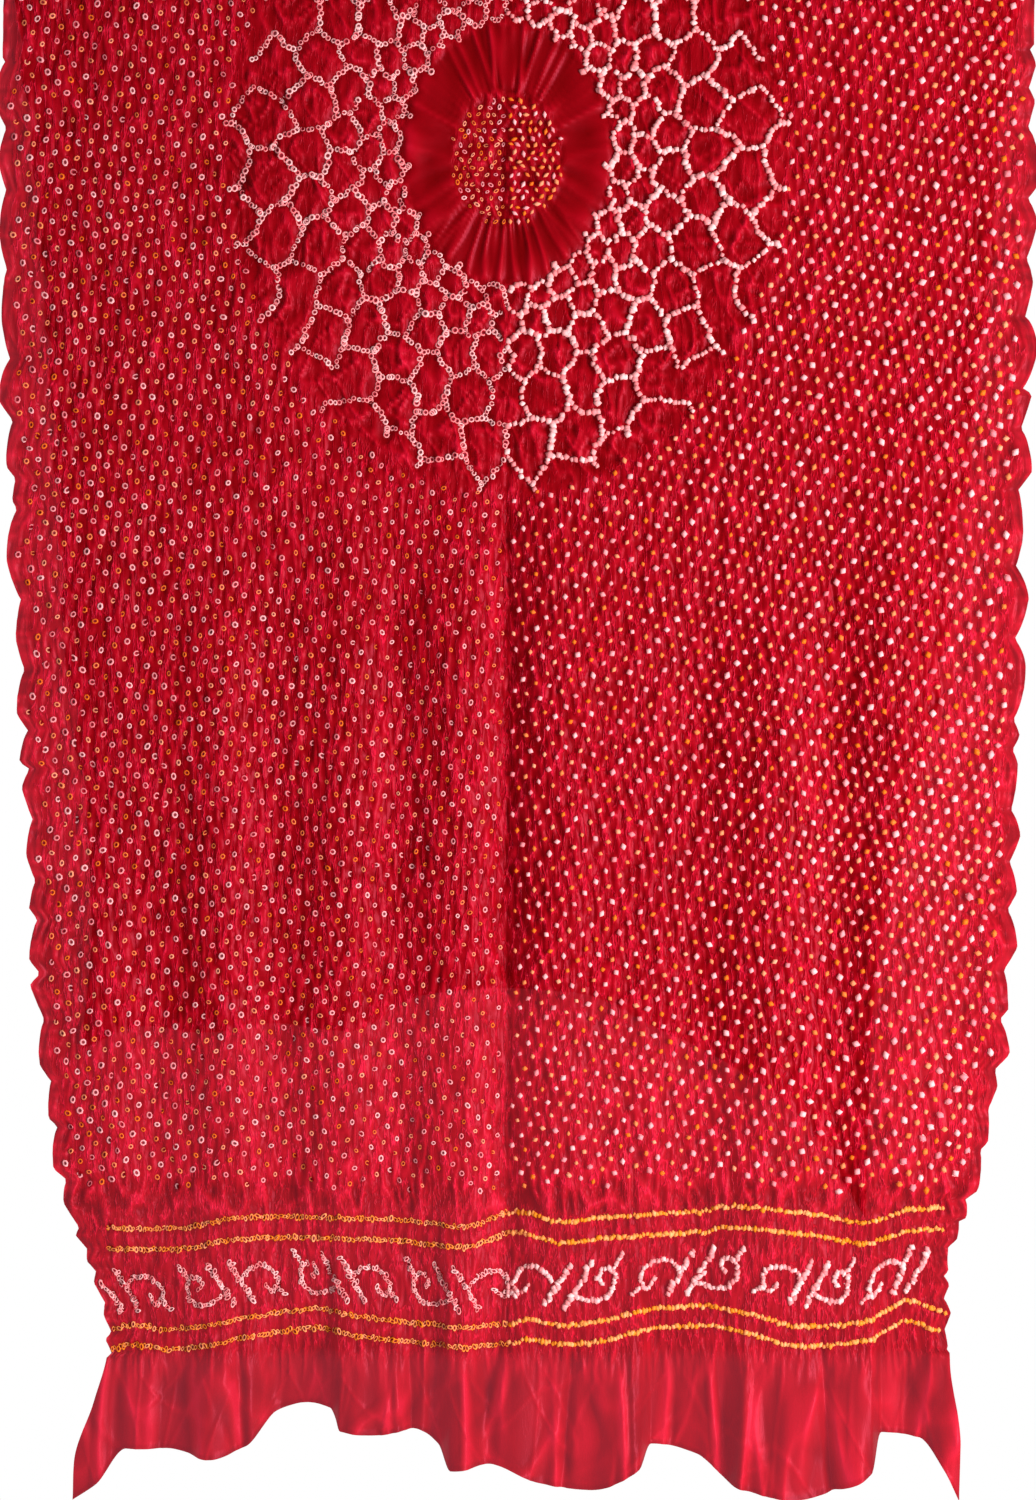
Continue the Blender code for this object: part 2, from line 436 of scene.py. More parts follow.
class Knots(NamedTuple):
    """Knots as arrays: place across and along the cloth, radius, and 1 where a knot is yellow."""

    x: np.ndarray
    q: np.ndarray
    radius: np.ndarray
    yellow: np.ndarray


def joined(groups):
    """Several lists of knots as one."""
    return Knots(*(np.concatenate(column) for column in zip(*groups)))


def chosen(knots, keep):
    return Knots(*(column[keep] for column in knots))


def slow_warp(x, q, reach, seed):
    """A smooth shift of up to about reach, as cloth that was tied by hand is never square."""
    shifts = np.random.default_rng(seed)
    total = np.zeros(np.broadcast(x, q).shape)
    for wave in range(5):
        across, along, phase = shifts.uniform(0.006, 0.03, 2).tolist() + [shifts.uniform(0, 6.3)]
        total += np.sin(across * x * shifts.choice([-1, 1]) + along * q + phase)
    return reach * total / 2.2


# %% The dotted field
STEP_ALONG_ROW = (-6.5, 7.9)
STEP_TO_NEXT_ROW = (-9.5, -2.9)
FIRST_KNOT_OUT = 4.0
CLEAR_OF_CREASE = 3.5
FIELD_HALF_LENGTH = 741.0
FIELD_MARGIN = 10.0
MEDALLION_CLEARANCE = (200.0, 243.0)
KNOT_RADIUS = 2.3
SIZE_AT_CREASE = 0.86
GROWTH_TO_SELVEDGE = 0.28
YELLOW_SHARE = 0.86
FIELD_JITTER = 0.5
FIELD_WARP = 3.0


def field_side(side):
    """The field's knots on one half: side is -1 for the left and 1 for the right."""
    along, row = np.meshgrid(np.arange(-220, 220), np.arange(-110, 110), indexing="ij")
    out = along * STEP_ALONG_ROW[0] + row * STEP_TO_NEXT_ROW[0] + FIRST_KNOT_OUT
    q = along * STEP_ALONG_ROW[1] + row * STEP_TO_NEXT_ROW[1]
    near = (out > -20) & (out < 400) & (np.abs(q) < 800)
    out, q, row = out[near], q[near], row[near]
    out = out + slow_warp(out, q, FIELD_WARP, 11 + side) + draws.normal(0, FIELD_JITTER, out.shape)
    q = q + slow_warp(out, q, FIELD_WARP, 31 + side) + draws.normal(0, FIELD_JITTER, out.shape)
    x = CREASE_X + side * out
    left, right = selvedges_at(x, q)
    ragged_end = FIELD_HALF_LENGTH + 5 * np.sin(out / 9.0)
    ragged_side = FIELD_MARGIN + 3 * np.sin(q / 17.0)
    inside = (x > left + ragged_side) & (x < right - ragged_side) & (np.abs(q) < ragged_end)
    clear = (out / MEDALLION_CLEARANCE[0]) ** 2 + (q / MEDALLION_CLEARANCE[1]) ** 2 > 1
    yellow = (row % 2 == 0).astype(float)
    radius = KNOT_RADIUS * np.where(yellow > 0, YELLOW_SHARE, 1) * draws.uniform(0.86, 1.14, out.shape)
    radius = radius * (SIZE_AT_CREASE + GROWTH_TO_SELVEDGE * out / 350)
    return chosen(Knots(x, q, radius, yellow), inside & clear & (out > CLEAR_OF_CREASE))


field = joined([field_side(-1), field_side(1)])
print(len(field.x), "knots in the field")

# %% [markdown]
# ## The medallion
#
# The medallion is a net of rounded cells, like honeycomb drawn on a dartboard: six wavy rings, with spokes
# that join an outward corner of one ring to an inward corner of the next. Each line of the net is a chain of
# close knots. The outermost cells are left partly open, with short spurs.

# %% The net of cells
CELLS_ROUND = 32
CHAIN_SPACING = 3.45
CHAIN_RADIUS = 2.45
CHAIN_JITTER = 0.65
ON_CREASE = 1.5


class Ring(NamedTuple):
    """A wavy ring of the medallion: its half width, its half height, and how far its corners wander."""

    half_width: float
    half_height: float
    wander: float


RINGS = (
    Ring(78, 98, 1.0),
    Ring(91, 113, 1.0),
    Ring(108, 134, 1.4),
    Ring(131, 160, 1.9),
    Ring(160, 191, 2.4),
    Ring(189, 224, 3.0),
)
ZIGZAG = 0.19
OUTER_LINE_CHANCE = 0.84
SPUR_CHANCE = 0.85
SPUR_LENGTH = 11.0
TOOTH_CHANCE = 0.6
TOOTH_LENGTH = 6.0
BOW = 0.09


def ring_corners():
    """The corners of each ring on the right half, from straight up to straight down, as (out, q)."""
    corners = []
    for level, ring in enumerate(RINGS):
        after = RINGS[min(level + 1, len(RINGS) - 1)]
        before = RINGS[max(level - 1, 0)]
        levels_apart = 2 if 0 < level < len(RINGS) - 1 else 1
        depth = ZIGZAG * (after.half_width - before.half_width) / levels_apart
        points = []
        for step in range(CELLS_ROUND + 1):
            angle = np.pi * step / CELLS_ROUND
            push = depth if (step + level) % 2 == 0 else -depth
            wander = draws.normal(0, ring.wander, 2)
            if step in (0, CELLS_ROUND):
                wander[0] = 0
            out = (ring.half_width + push) * np.sin(angle) + wander[0]
            q = -(ring.half_height + push) * np.cos(angle) + wander[1]
            points.append(np.array([max(out, 0.0), q]))
        corners.append(points)
    return corners


def medallion_lines():
    """The net's lines on one half, as pairs of ends."""
    corners = ring_corners()
    last = len(corners) - 1
    lines = []
    for level, points in enumerate(corners):
        for step in range(CELLS_ROUND):
            if level < last or draws.random() < OUTER_LINE_CHANCE:
                lines.append((points[step], points[step + 1]))
        for step in range(CELLS_ROUND + 1):
            outward = (step + level) % 2 == 0
            if outward and level < last:
                lines.append((points[step], corners[level + 1][step]))
            elif outward and draws.random() < SPUR_CHANCE:
                away = points[step] / np.linalg.norm(points[step])
                lines.append((points[step], points[step] + away * draws.uniform(0.5, 1) * SPUR_LENGTH))
            elif not outward and level == 0 and draws.random() < TOOTH_CHANCE:
                inward = -points[step] / np.linalg.norm(points[step])
                lines.append((points[step], points[step] + inward * TOOTH_LENGTH))
    return lines


def chain(start, end, spacing, radius):
    """Knots along one slightly bowed line, none on its ends, as (out, q, radius) rows."""
    along = end - start
    count = max(1, round(float(np.linalg.norm(along)) / spacing))
    shares = (np.arange(count) + 0.5) / count
    bow = np.array([-along[1], along[0]]) * draws.normal(0, BOW)
    places = start + along * shares[:, None] + bow * np.sin(np.pi * shares)[:, None]
    places = places + draws.normal(0, CHAIN_JITTER, places.shape)
    bold = draws.uniform(0.8, 1.12)
    return np.column_stack([places, bold * radius * draws.uniform(0.85, 1.15, count)])


net = np.concatenate([chain(start, end, CHAIN_SPACING, CHAIN_RADIUS) for start, end in medallion_lines()])


def mirrored(rows):
    """Rows of (out, q, radius) as white knots on both halves, with those on the crease only once."""
    halves = []
    for side in (-1, 1):
        out, q, radius = rows[rows[:, 0] >= ON_CREASE].T if side < 0 else rows.T
        halves.append(Knots(CREASE_X + side * out, q, radius, np.zeros(len(out))))
    return joined(halves)


medallion = mirrored(net)
print(len(medallion.x), "knots in the medallion's net")

# %% The cluster at its heart
HEART_HALF_SIZE = (41.0, 47.0)
HEART_CENTRE_Q = 5.0
HEART_SPACING = 6.3
HEART_RADIUS = 1.75
HEART_JITTER = 0.7


def heart_knots():
    """A close oval cluster of white, yellow and orange knots."""
    row, column = np.meshgrid(np.arange(-9, 10), np.arange(0, 8), indexing="ij")
    out = (column + 0.5 * (row % 2) + 0.35) * HEART_SPACING
    q = row * HEART_SPACING * 0.86 + HEART_CENTRE_Q
    out = out + draws.normal(0, HEART_JITTER, out.shape)
    q = q + draws.normal(0, HEART_JITTER, q.shape)
    inside = (out / HEART_HALF_SIZE[0]) ** 2 + ((q - HEART_CENTRE_Q) / HEART_HALF_SIZE[1]) ** 2 < 1
    radius = HEART_RADIUS * draws.uniform(0.8, 1.2, inside.sum())
    both = mirrored(np.column_stack([out[inside], q[inside], radius]))
    return both._replace(yellow=draws.choice([0.0, 1.0, 1.0], len(both.x)))


heart = heart_knots()
print(len(heart.x), "knots at the heart")

# %% [markdown]
# ## The border band
#
# At each end of the cloth, two pairs of yellow dotted lines hold a row of white scrolls. The lines wave,
# because the band is gathered, so a short table holds how far. The scroll is charted once, as strokes
# in millimetres from the foot of its first stem, and stepped out from the crease to both sides.


# %% The waves of the band
class Wave(NamedTuple):
    """How far the upper and the lower lines of the band hang below their mean at x."""

    x: float
    upper: float
    lower: float


WAVES = (
    Wave(-295, 6.3, 6.8),
    Wave(-279, 7.2, 2.5),
    Wave(-248, 7.6, 5.8),
    Wave(-197, -0.9, -2.2),
    Wave(-142, -1.1, -8.6),
    Wave(-107, 0.0, -3.2),
    Wave(-87, 1.1, -0.9),
    Wave(-35, 4.7, 3.2),
    Wave(-1, -4.6, 0.6),
    Wave(8, -4.0, -2.2),
    Wave(33, 1.8, 1.6),
    Wave(66, -1.4, -2.0),
    Wave(90, -2.5, -7.9),
    Wave(138, -5.0, -11.0),
    Wave(145, -8.6, -9.8),
    Wave(168, -8.5, -5.8),
    Wave(199, -5.0, 2.5),
    Wave(215, -3.0, 2.9),
    Wave(251, 2.9, -1.4),
    Wave(262, 0.0, -5.4),
    Wave(282, -6.1, -14.4),
    Wave(304, -7.9, -7.9),
)
UPPER_LINES = (765.0, 780.0)
LOWER_LINES = (839.0, 853.0)
SCROLL_FOOT_Q = 827.0
LINE_SPACING = 2.35
LINE_RADIUS = 1.85
FRONT_LINES = (-296, 308)
BACK_LINES = (-290, 238)


def upper_wave(x):
    return through([(row.x, row.upper) for row in WAVES], x)


def lower_wave(x):
    return through([(row.x, row.lower) for row in WAVES], x)


def line_knots():
    """The yellow dotted lines of both bands."""
    groups = []
    for end in (1, -1):
        first, last = FRONT_LINES if end > 0 else BACK_LINES
        for line in UPPER_LINES + LOWER_LINES:
            x = np.arange(first, last, LINE_SPACING)
            x = x + draws.normal(0, 0.35, x.shape)
            wave = upper_wave(x) if line in UPPER_LINES else lower_wave(x)
            q = end * (line + wave + draws.normal(0, 0.5, x.shape))
            groups.append(Knots(x, q, LINE_RADIUS * draws.uniform(0.8, 1.25, x.shape), np.ones(len(x))))
    return joined(groups)


# %% The scrolls
STEMS = (
    ((0, 0), (8, 13), (20, 31)),
    ((14, -1), (25, 15), (35, 32)),
)
LOWER_SCROLL = (
    ((22, 7), (29, 4), (36, 2), (44, 3), (50, 10), (51, 19), (47, 24), (41, 23), (38.5, 18), (42, 13)),
    ((50, 24), (57, 34)),
)
UPPER_SCROLL = (
    ((63, 3), (69, 7)),
    ((79, 11), (76, 6), (72, 5), (69, 10), (69, 14), (72, 20), (78, 24), (85, 25), (92, 23), (97, 18)),
)
RIGHT_STARTS = (20, 109, 196, 270)
LEFT_STARTS = (-27, -109, -189, -272)
SCROLL_PITCH = 88.7
SCROLLS_FROM = -299
FRONT_SCROLLS_TO = 309
BACK_SCROLLS_TO = 240
STROKE_SPACING = 2.2


class StrokeKnots(NamedTuple):
    """The radius of a stroke's knots, and how far they stray sideways."""

    radius: float
    jitter: float


STEM_KNOTS = StrokeKnots(2.3, 0.85)
SCROLL_KNOTS = StrokeKnots(2.0, 0.55)


def stroke_knots(stroke, start, across_scale, radius, jitter, end):
    """Knots along one stroke of a scroll."""
    points = np.array(stroke, float)
    reach = np.concatenate([[0], np.cumsum(np.linalg.norm(np.diff(points, axis=0), axis=1))])
    at = np.arange(0, reach[-1] + 0.1, STROKE_SPACING)
    across = np.interp(at, reach, points[:, 0])
    up = np.interp(at, reach, points[:, 1])
    x = start + across_scale * across + draws.normal(0, jitter, at.shape)
    wave = (upper_wave(x) + lower_wave(x)) / 2 - 1.0
    q = end * (SCROLL_FOOT_Q + wave - up + draws.normal(0, 0.35, at.shape))
    return Knots(x, q, radius * draws.uniform(0.82, 1.15, at.shape), np.zeros(len(at)))


def scroll_side(side, starts, end):
    """The scrolls on one side of the centre, each fitted between its stem and the next."""
    pitches = [abs(after - before) for before, after in zip(starts, starts[1:])]
    scales = [side * pitch / SCROLL_PITCH for pitch in pitches]
    first = starts[0] - side * (SCROLL_PITCH + 2)
    groups = [stroke_knots(stroke, first, side, *SCROLL_KNOTS, end) for stroke in UPPER_SCROLL]
    for start, scale in zip(starts, scales + scales[-1:]):
        groups += [stroke_knots(stroke, start, scale, *STEM_KNOTS, end) for stroke in STEMS]
    for start, scale in zip(starts, scales):
        for stroke in LOWER_SCROLL + UPPER_SCROLL:
            groups.append(stroke_knots(stroke, start, scale, *SCROLL_KNOTS, end))
    return groups


def scroll_knots():
    """The rows of scrolls in both bands, mirrored about the centre."""
    groups = []
    for end in (1, -1):
        groups += scroll_side(1, RIGHT_STARTS, end) + scroll_side(-1, LEFT_STARTS, end)
    rows = joined(groups)
    reach = np.where(rows.q > 0, FRONT_SCROLLS_TO, BACK_SCROLLS_TO)
    return chosen(rows, (rows.x > SCROLLS_FROM) & (rows.x < reach))


band = joined([line_knots(), scroll_knots()])
print(len(band.x), "knots in the two bands")

# %% [markdown]
# ## The puckers
#
# Where a point was bound, the silk keeps a tiny peak on one face and a hollow on the other. Because the
# cloth was folded when it was tied, the right half shows peaks and the left half hollows. Between knots it
# is crimped into fine upright pleats. All of this is small relief on a large sheet, so it is worked out once
# on a flat map of the cloth, from seeded noise blurred to the right length and width, and the mesh is then
# lifted by it.

# %% A flat map of the cloth
CELL = 0.8
MAP_X = np.arange(-388, 393, CELL)
MAP_Q = np.arange(-960, 985, CELL)
map_x, map_q = np.meshgrid(MAP_X, MAP_Q)
map_out = np.abs(map_x - CREASE_X)
map_along = np.abs(map_q)


def blurred(values, width, length):
    """A map of the cloth, blurred to a width across and a length along it."""
    across = np.fft.rfftfreq(map_x.shape[1], CELL)[None, :] * width
    along = np.fft.fftfreq(map_x.shape[0], CELL)[:, None] * length
    softening = np.exp(-2 * np.pi**2 * (across**2 + along**2))
    return np.fft.irfft2(np.fft.rfft2(values) * softening, map_x.shape)


def soft_noise(width, length, seed):
    """Blurred noise, with a spread of 1."""
    soft = blurred(np.random.default_rng(seed).standard_normal(map_x.shape), width, length)
    return soft / soft.std()


def read_map(values, x, q):
    """A map of the cloth at cloth points, read between its cells."""
    column = np.clip((x - MAP_X[0]) / CELL, 0, len(MAP_X) - 1.001)
    row = np.clip((q - MAP_Q[0]) / CELL, 0, len(MAP_Q) - 1.001)
    c, r = column.astype(int), row.astype(int)
    u, v = column - c, row - r
    upper = values[r, c] * (1 - u) + values[r, c + 1] * u
    lower = values[r + 1, c] * (1 - u) + values[r + 1, c + 1] * u
    return upper * (1 - v) + lower * v


def inset_at(x, q):
    """How far a cloth point lies from the nearer selvedge."""
    left, right = selvedges_at(x, q)
    return np.minimum(x - left, right - x)


def oval(half_width, half_height):
    """Distance from the medallion's middle, as a share of an oval's size."""
    return np.sqrt((map_out / half_width) ** 2 + (map_q / half_height) ** 2)


# %% Where each kind of pucker lies
BAND_STARTS = (735.0, 765.0)
BAND_ENDS = (853.0, 880.0)
FLOUNCE_STARTS = (845.0, 875.0)
PLAIN_OVAL = (78.0, 97.0)
GATHERS_OVAL = (80.0, 100.0)
in_medallion = 1 - ease(0.97, 1.03, oval(*MEDALLION_CLEARANCE))
in_plain_oval = (1 - ease(0.92, 1.0, oval(*PLAIN_OVAL))) * ease(0.9, 1.05, oval(*HEART_HALF_SIZE))
in_cells = in_medallion * (1 - in_plain_oval)
in_band = ease(*BAND_STARTS, map_along) * (1 - ease(*BAND_ENDS, map_along))
in_flounce = ease(*FLOUNCE_STARTS, map_along)
in_field = (1 - in_medallion) * (1 - in_band) * (1 - in_flounce)
at_band_top = ease(732, 745, map_along) * (1 - ease(754, 768, map_along))
below_band_top = in_band * (1 - 0.6 * at_band_top)
at_flounce_top = in_flounce * (1 - ease(862, 890, map_along))
on_free_silk = ease(855, 890, map_along)
at_selvedge = (1 - ease(2, 20, inset_at(map_x, map_q))) * (1 - in_flounce)
turned_over = np.where(map_x > CREASE_X, 1.0, -1.0)


# %% Pleats that run from knot to knot
def column_phase(out, q):
    """Which upright column of knots a place lies in: a whole number on the column's line."""
    det = STEP_ALONG_ROW[0] * STEP_TO_NEXT_ROW[1] - STEP_ALONG_ROW[1] * STEP_TO_NEXT_ROW[0]
    out = out - FIRST_KNOT_OUT
    along = (out * STEP_TO_NEXT_ROW[1] - q * STEP_TO_NEXT_ROW[0]) / det
    row = (STEP_ALONG_ROW[0] * q - STEP_ALONG_ROW[1] * out) / det
    return along + row


def sharp_pleats(width, length, seed):
    """Narrow crests that run up and down, where blurred noise passes through zero."""
    return 1.0 - 1.9 * np.minimum(np.abs(soft_noise(width, length, seed)), 1.0)


def creases(width, length, slant, level, seed):
    """Thin crests on flat silk that lean sideways by a slant, either way from a level."""
    lines = np.exp(-((soft_noise(width, length, seed) / 0.16) ** 2))
    return read_map(lines, map_x + slant * (map_along - level), map_q)


phase = column_phase(map_out, map_q) + 0.13 * soft_noise(4.0, 10.0, 9)
columns_crest = np.exp(-(((phase - np.round(phase)) / 0.17) ** 2)) * (1 + 0.45 * soft_noise(5.0, 8.0, 10))


# %% The tables of pleats and creases
class Pleats(NamedTuple):
    """A set of sharp pleats: where they lie, their height, width and length, and their seed."""

    where: np.ndarray
    height: float
    width: float
    length: float
    seed: int


class Creases(NamedTuple):
    """A set of leaning creases: the same, with the slant and the level that they lean from."""

    where: np.ndarray
    height: float
    width: float
    length: float
    slant: float
    level: float
    seed: int


PLEATS = (
    Pleats(in_field, 0.85, 1.3, 8.0, 1),
    Pleats(below_band_top, 0.7, 1.2, 7.0, 3),
    Pleats(below_band_top, 0.6, 2.4, 9.0, 24),
    Pleats(at_band_top, 1.7, 3.4, 12.0, 17),
    Pleats(at_band_top, 1.0, 4.0, 6.0, 18),
    Pleats(at_flounce_top, 1.1, 1.8, 20.0, 4),
    Pleats(on_free_silk, 2.3, 8.0, 60.0, 5),
    Pleats(on_free_silk, 1.3, 12.0, 20.0, 19),
    Pleats(at_selvedge, 0.9, 10.0, 2.6, 14),
    Pleats(in_cells, 0.5, 1.7, 9.0, 7),
    Pleats(in_cells, 0.8, 4.5, 6.0, 12),
)
CREASES = (
    Creases(on_free_silk, 0.9, 8.0, 60.0, 0.12, 900, 6),
    Creases(on_free_silk, 0.7, 10.0, 34.0, -0.45, 900, 15),
    Creases(on_free_silk, 0.6, 10.0, 30.0, 0.55, 900, 16),
    Creases(in_cells, 1.8, 7.0, 9.0, 0.5, 0, 21),
    Creases(in_cells, 1.8, 7.0, 9.0, -0.5, 0, 22),
)

# %% The relief of the pleats and creases
relief = in_field * (0.4 * turned_over * (columns_crest - 0.3) + 0.45 * soft_noise(5.0, 7.0, 2))
for row in PLEATS:
    relief += row.where * row.height * sharp_pleats(*row[2:])
for row in CREASES:
    relief += row.where * row.height * creases(*row[2:])
relief -= (1 - in_flounce) * (1.3 - 0.6 * in_medallion) * np.exp(-map_out / 3.5)

# %% The radial gathers of the plain oval
angle_round = np.arctan2(map_out / 0.8, map_q)
from_heart = oval(*GATHERS_OVAL)
fine_gathers = read_map(sharp_pleats(1.5, 24.0, 8), 62 * angle_round, 80 * from_heart)
wide_gathers = read_map(sharp_pleats(3.2, 22.0, 20), 62 * angle_round, 80 * from_heart)
gathered_ends = 0.2 + 0.7 * (1 - ease(0.5, 0.72, from_heart)) + 0.7 * ease(0.74, 0.98, from_heart)
upright = np.abs(np.cos(angle_round))
gathers = 0.9 * fine_gathers * gathered_ends * upright + (0.5 + 0.6 * upright) * wide_gathers
relief += in_plain_oval * (gathers + 0.9 * soft_noise(7.0, 11.0, 23))


# %% The pull of the knots
class Pull(NamedTuple):
    """How knots pull the silk: their reach across and along it, and the height on the left and right half."""

    knots: Knots
    reach_x: float
    reach_q: float
    left: float
    right: float


PULLS = (
    Pull(field, 2.6, 3.2, -1.0, 1.3),
    Pull(medallion, 4.6, 4.6, -0.55, -0.55),
    Pull(medallion, 1.7, 1.7, -0.5, 1.1),
    Pull(heart, 2.5, 2.9, -1.2, 1.8),
    Pull(band, 3.2, 3.8, -0.3, -0.3),
    Pull(band, 1.5, 2.0, -0.4, 0.8),
)


def stamp(pull):
    """Adds a small rounded peak to the relief at each knot, or a hollow where the height is negative."""
    half_x, half_q = int(2.5 * pull.reach_x / CELL), int(2.5 * pull.reach_q / CELL)
    for x, q in zip(pull.knots.x, pull.knots.q):
        column = int(round((x - MAP_X[0]) / CELL))
        row = int(round((q - MAP_Q[0]) / CELL))
        rows = slice(max(row - half_q, 0), row + half_q + 1)
        columns = slice(max(column - half_x, 0), column + half_x + 1)
        away_x = (MAP_X[columns][None, :] - x) / pull.reach_x
        away_q = (MAP_Q[rows][:, None] - q) / pull.reach_q
        height = pull.right if x > CREASE_X else pull.left
        relief[rows, columns] += height * np.exp(-(away_x**2) - away_q**2)


for pull in PULLS:
    stamp(pull)
print("the relief runs from", round(relief.min(), 1), "to", round(relief.max(), 1), "mm")

# %% Crests and valleys, for painted shade in the valleys and a painted highlight on the crests
# The relief above its own blur: silk higher than its surroundings is painted lighter and silk lower is painted
# darker, as painted highlight and painted shade. The medallion and its oval come out a little darker.
broad = blurred(relief, 7.0, 9.0)
smooth_silk = 0.12 * in_medallion + 0.10 * in_plain_oval
painted_crest_shade_map = np.clip(0.5 - smooth_silk + 0.3 * (relief - broad), 0, 1)

# %% [markdown]
# ## The silk, leg by leg
#
# The silk is a fine grid, hung point by point. Its columns are close and its rows wider apart, because the
# pleats run up and down. One mesh for the whole cloth would be too heavy to handle, so it is cut where it
# doesn't show: at the centre crease and at the top of the band. The shading normals are worked out before
# the cut and kept on each panel, so no seam shows. Attributes carry what the silk is like at each point:
# how sheer, how crimped and how gathered, whether it lies on a crest or in a valley, and whether it is hem.

# %% The grid of each leg
HALF_COLUMNS = 300
FIELD_ROWS = 292
BAND_ROWS = 84
BAND_TOP_DROP = 900.0
BACK_HALF_COLUMNS = 160
TURN_ROWS = 14
BACK_ROWS = 200
HEM_WIDTH = 1.5
HEM_FADES_BY = 4.0
HEM_ROLL = 0.8


def columns_across(leg, drop, half_columns):
    """X of a leg's columns at each drop, with the middle column on the crease."""
    left, right = edges_of(leg, drop)
    share = np.linspace(0, 1, half_columns + 1)
    to_crease = left[:, None] + (CREASE_X - left)[:, None] * share[None, :]
    from_crease = CREASE_X + (right - CREASE_X)[:, None] * share[None, 1:]
    return np.concatenate([to_crease, from_crease], axis=1)


def columns_to_hem(leg, top_drop, rows, half_columns):
    """X and drop of a grid that runs from a level line down to the hem."""
    x = columns_across(leg, np.full(rows + 1, top_drop), half_columns)
    share = np.linspace(0, 1, rows + 1)[:, None]
    for settling in range(3):
        drop = top_drop + (hem_drop(leg, x) - top_drop) * share
        left, right = edges_of(leg, drop)
        place = np.linspace(-1, 1, 2 * half_columns + 1)[None, :]
        x = np.where(place < 0, CREASE_X + (left - CREASE_X) * -place, CREASE_X + (right - CREASE_X) * place)
    return x, drop


def hem_at(x, q):
    """1 on the narrow rolled hem of either end, and 0 off it."""
    hem = np.where(q > FRONT_TURN_Q, hem_drop(FRONT, x), hem_drop(BACK, x))
    return 1 - ease(HEM_WIDTH, HEM_FADES_BY, hem - drop_of(x, q))


def hung_grid(x, q):
    """Places in metres for a grid of cloth points, lifted by the relief and by the hem's roll."""
    return hang(x, q, read_map(relief, x, q) + HEM_ROLL * hem_at(x, q)) * MM


def normals_of(places):
    """The outward normal at each grid point, from its neighbours."""
    down = np.gradient(places, axis=0)
    across = np.gradient(places, axis=1)
    normal = np.cross(down, across)
    return normal / np.maximum(np.linalg.norm(normal, axis=-1, keepdims=True), 1e-12)


# %% The front leg's grid
field_drops = np.linspace(TURN_DROP, BAND_TOP_DROP, FIELD_ROWS + 1)
field_x = columns_across(FRONT, field_drops, HALF_COLUMNS)
field_drop = np.repeat(field_drops[:, None], field_x.shape[1], axis=1)
band_x, band_drop = columns_to_hem(FRONT, BAND_TOP_DROP, BAND_ROWS, HALF_COLUMNS)
front_x = np.concatenate([field_x, band_x[1:]])
front_q = np.concatenate([field_drop, band_drop[1:]]) - MEDALLION_DROP
front_places = hung_grid(front_x, front_q)
front_normals = normals_of(front_places)
print("the front grid has", front_places.shape[0], "rows and", front_places.shape[1], "columns")

# %% The back leg's grid, with the turn
turn_q = np.linspace(FRONT_TURN_Q, BACK_TURN_Q, TURN_ROWS + 1)
turn_x = columns_across(FRONT, np.full(TURN_ROWS + 1, TURN_DROP), BACK_HALF_COLUMNS)
back_x, back_drop = columns_to_hem(BACK, TURN_DROP, BACK_ROWS, BACK_HALF_COLUMNS)
back_q = BACK_TURN_Q - (back_drop - TURN_DROP) * back_stretch(back_x)
back_x = np.concatenate([turn_x, back_x[1:]])
back_q = np.concatenate([np.repeat(turn_q[:, None], turn_x.shape[1], axis=1), back_q[1:]])
back_places = hung_grid(back_x, back_q)
back_normals = -normals_of(back_places)
print("the back grid has", back_places.shape[0], "rows and", back_places.shape[1], "columns")


# %% What the silk is like at each point
FIELD_SHEER = 0.4
BAND_SHEER = 0.55
SELVEDGE_SHEER = 0.7
SHEER_STARTS = (845.0, 870.0)


def sheer_at(x, q):
    """How clear the silk is: most in the flounce and at the selvedges, least where it is crimped."""
    selvedge = SELVEDGE_SHEER * (1 - ease(4, 16, inset_at(x, q)))
    gathered = FIELD_SHEER + (BAND_SHEER - FIELD_SHEER) * ease(*BAND_STARTS, np.abs(q))
    return np.maximum(np.maximum(selvedge, gathered), ease(*SHEER_STARTS, np.abs(q)))


def crimp_at(x, q):
    """How finely the silk is crimped: fully in the field, a little in the medallion, not in the oval."""
    field_crimp = (1 - 0.95 * ease(*FLOUNCE_STARTS, np.abs(q))) * ease(2, 14, inset_at(x, q))
    return field_crimp * (1 - 0.75 * read_map(in_medallion, x, q)) * (1 - read_map(in_plain_oval, x, q))


# %% A panel from part of a grid
def silk_panel(name, places, normals, x, q, flip):
    """A mesh panel from a block of a hung grid, with its normals and what the silk is like at each point."""
    rows, columns = x.shape
    index = np.arange(rows * columns).reshape(rows, columns)
    corners = [index[:-1, :-1], index[1:, :-1], index[1:, 1:], index[:-1, 1:]]
    if flip:
        corners.reverse()
    faces = np.stack(corners, axis=-1).reshape(-1, 4)
    mesh = bpy.data.meshes.new(name)
    mesh.from_pydata(places.reshape(-1, 3), [], faces)
    # The crest attribute carries painted shade and painted highlight into the silk's colour.
    qualities = {
        "sheer": sheer_at(x, q),
        "crimp": crimp_at(x, q),
        "crest": read_map(painted_crest_shade_map, x, q),
        "gathered": read_map(in_band, x, q),
        "hem": hem_at(x, q),
    }
    for quality, values in qualities.items():
        attribute = mesh.attributes.new(quality, "FLOAT", "POINT")
        attribute.data.foreach_set("value", values.ravel().astype(np.float32))
    mesh.shade_smooth()
    mesh.normals_split_custom_set_from_vertices(normals.reshape(-1, 3))
    panel = bpy.data.objects.new(name, mesh)
    bpy.context.collection.objects.link(panel)
    area = sum(face.area for face in mesh.polygons)
    print(name, "has", 2 * len(faces), "triangles and", round(area, 3), "square metres")
    return panel


